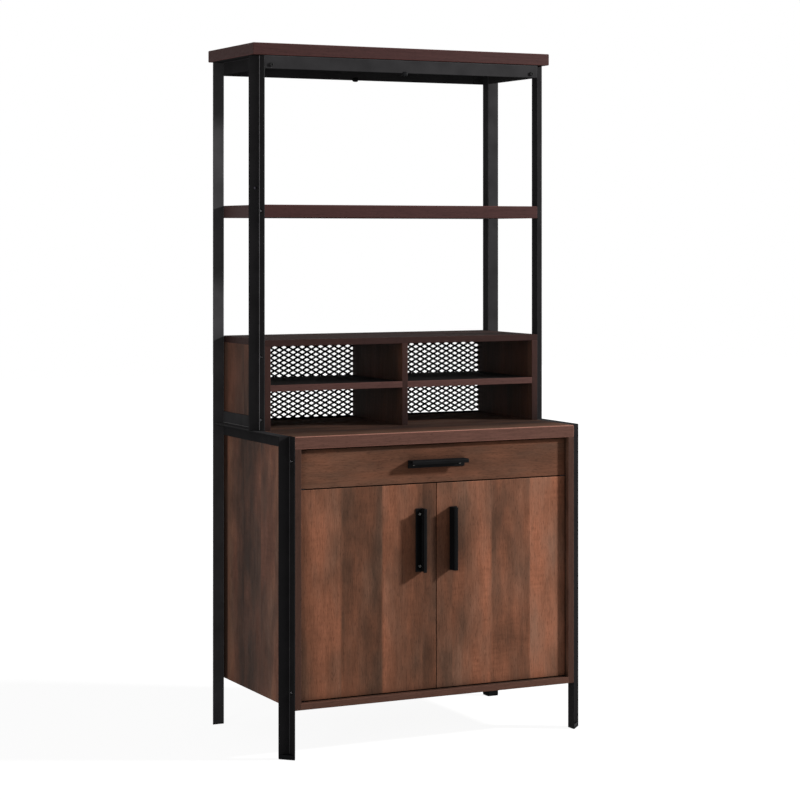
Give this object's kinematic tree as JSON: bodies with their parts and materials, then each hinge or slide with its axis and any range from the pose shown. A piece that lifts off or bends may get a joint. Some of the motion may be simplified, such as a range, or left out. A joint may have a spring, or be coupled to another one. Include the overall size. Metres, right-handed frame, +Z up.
{
  "type": "storage hutch with shelves, drawer and doors",
  "caption": "Tall storage hutch: a black angle-steel frame carries a cabinet with a drawer and doors, and above it mesh-backed cubbies, an open shelf and a top board.",
  "frame": {"origin": "on the floor, under the middle of the bounding box", "axes": "+Z up, -Y towards the front with the doors and the drawer, +X to the right seen from the front"},
  "size_m": [0.85, 0.5075, 1.757],
  "materials": {
    "frame_steel": "fine-textured black powder coat, slightly glossy",
    "mesh_steel": "black painted expanded metal",
    "pull_steel": "satin black powder coat",
    "front_board": "matt rustic dark brown laminate with a brushed grain",
    "body_board": "matt dark brown laminate with a wood grain",
    "foot_plastic": "matt black moulded plastic",
    "zinc_steel": "bright zinc plated"
  },
  "bodies": {
    "cabinet": {"leg_front_left": "frame_steel", "leg_front_right": "frame_steel", "leg_rear_left": "frame_steel", "leg_rear_right": "frame_steel", "base_rail_left": "frame_steel", "base_rail_right": "frame_steel", "foot_caps": "foot_plastic", "side_panel_left": "body_board", "side_panel_right": "body_board", "bottom_panel": "body_board", "counter_top": "body_board", "back_panel": "body_board", "stretcher": "body_board", "inner_shelf": "body_board", "shelf_pins": "zinc_steel", "leg_screws": "frame_steel", "post_front_left": "frame_steel", "post_front_right": "frame_steel", "post_rear_left": "frame_steel", "post_rear_right": "frame_steel", "hutch_rail_left": "frame_steel", "hutch_rail_right": "frame_steel", "top_rail_left": "frame_steel", "top_rail_right": "frame_steel", "top_rail_front": "frame_steel", "top_rail_rear": "frame_steel", "rail_bolts": "frame_steel", "top_board": "body_board", "upper_shelf": "body_board", "cubby_side_left": "body_board", "cubby_side_right": "body_board", "cubby_divider": "body_board", "cubby_top": "body_board", "cubby_shelf_left": "body_board", "cubby_shelf_right": "body_board", "mesh_back_left": "mesh_steel", "mesh_back_right": "mesh_steel", "post_screws": "frame_steel", "slide_cabinet_left": "zinc_steel", "slide_cabinet_right": "zinc_steel", "pivot_brackets_left": "zinc_steel", "pivot_brackets_right": "zinc_steel"},
    "drawer": {"drawer_front": "front_board", "drawer_side_left": "body_board", "drawer_side_right": "body_board", "drawer_back": "body_board", "drawer_bottom": "body_board", "drawer_pull": "pull_steel", "drawer_pull_screws": "zinc_steel", "slide_drawer_left": "zinc_steel", "slide_drawer_right": "zinc_steel"},
    "left_door": {"door_left": "front_board", "door_pull_left": "pull_steel", "door_pull_screws_left": "zinc_steel"},
    "right_door": {"door_right": "front_board", "door_pull_right": "pull_steel", "door_pull_screws_right": "zinc_steel"}
  },
  "joints": [
    {"name": "drawer_slide", "type": "slide", "parent": "cabinet", "child": "drawer", "axis": [0, -1, 0], "range_m": [0, 0.3]},
    {"name": "left_door_hinge", "type": "hinge", "parent": "cabinet", "child": "left_door", "pos_m": [-0.3685, -0.221, 0.396], "axis": [0, 0, -1], "range_deg": [0, 95]},
    {"name": "right_door_hinge", "type": "hinge", "parent": "cabinet", "child": "right_door", "pos_m": [0.3685, -0.221, 0.396], "axis": [0, 0, 1], "range_deg": [0, 95]}
  ]
}
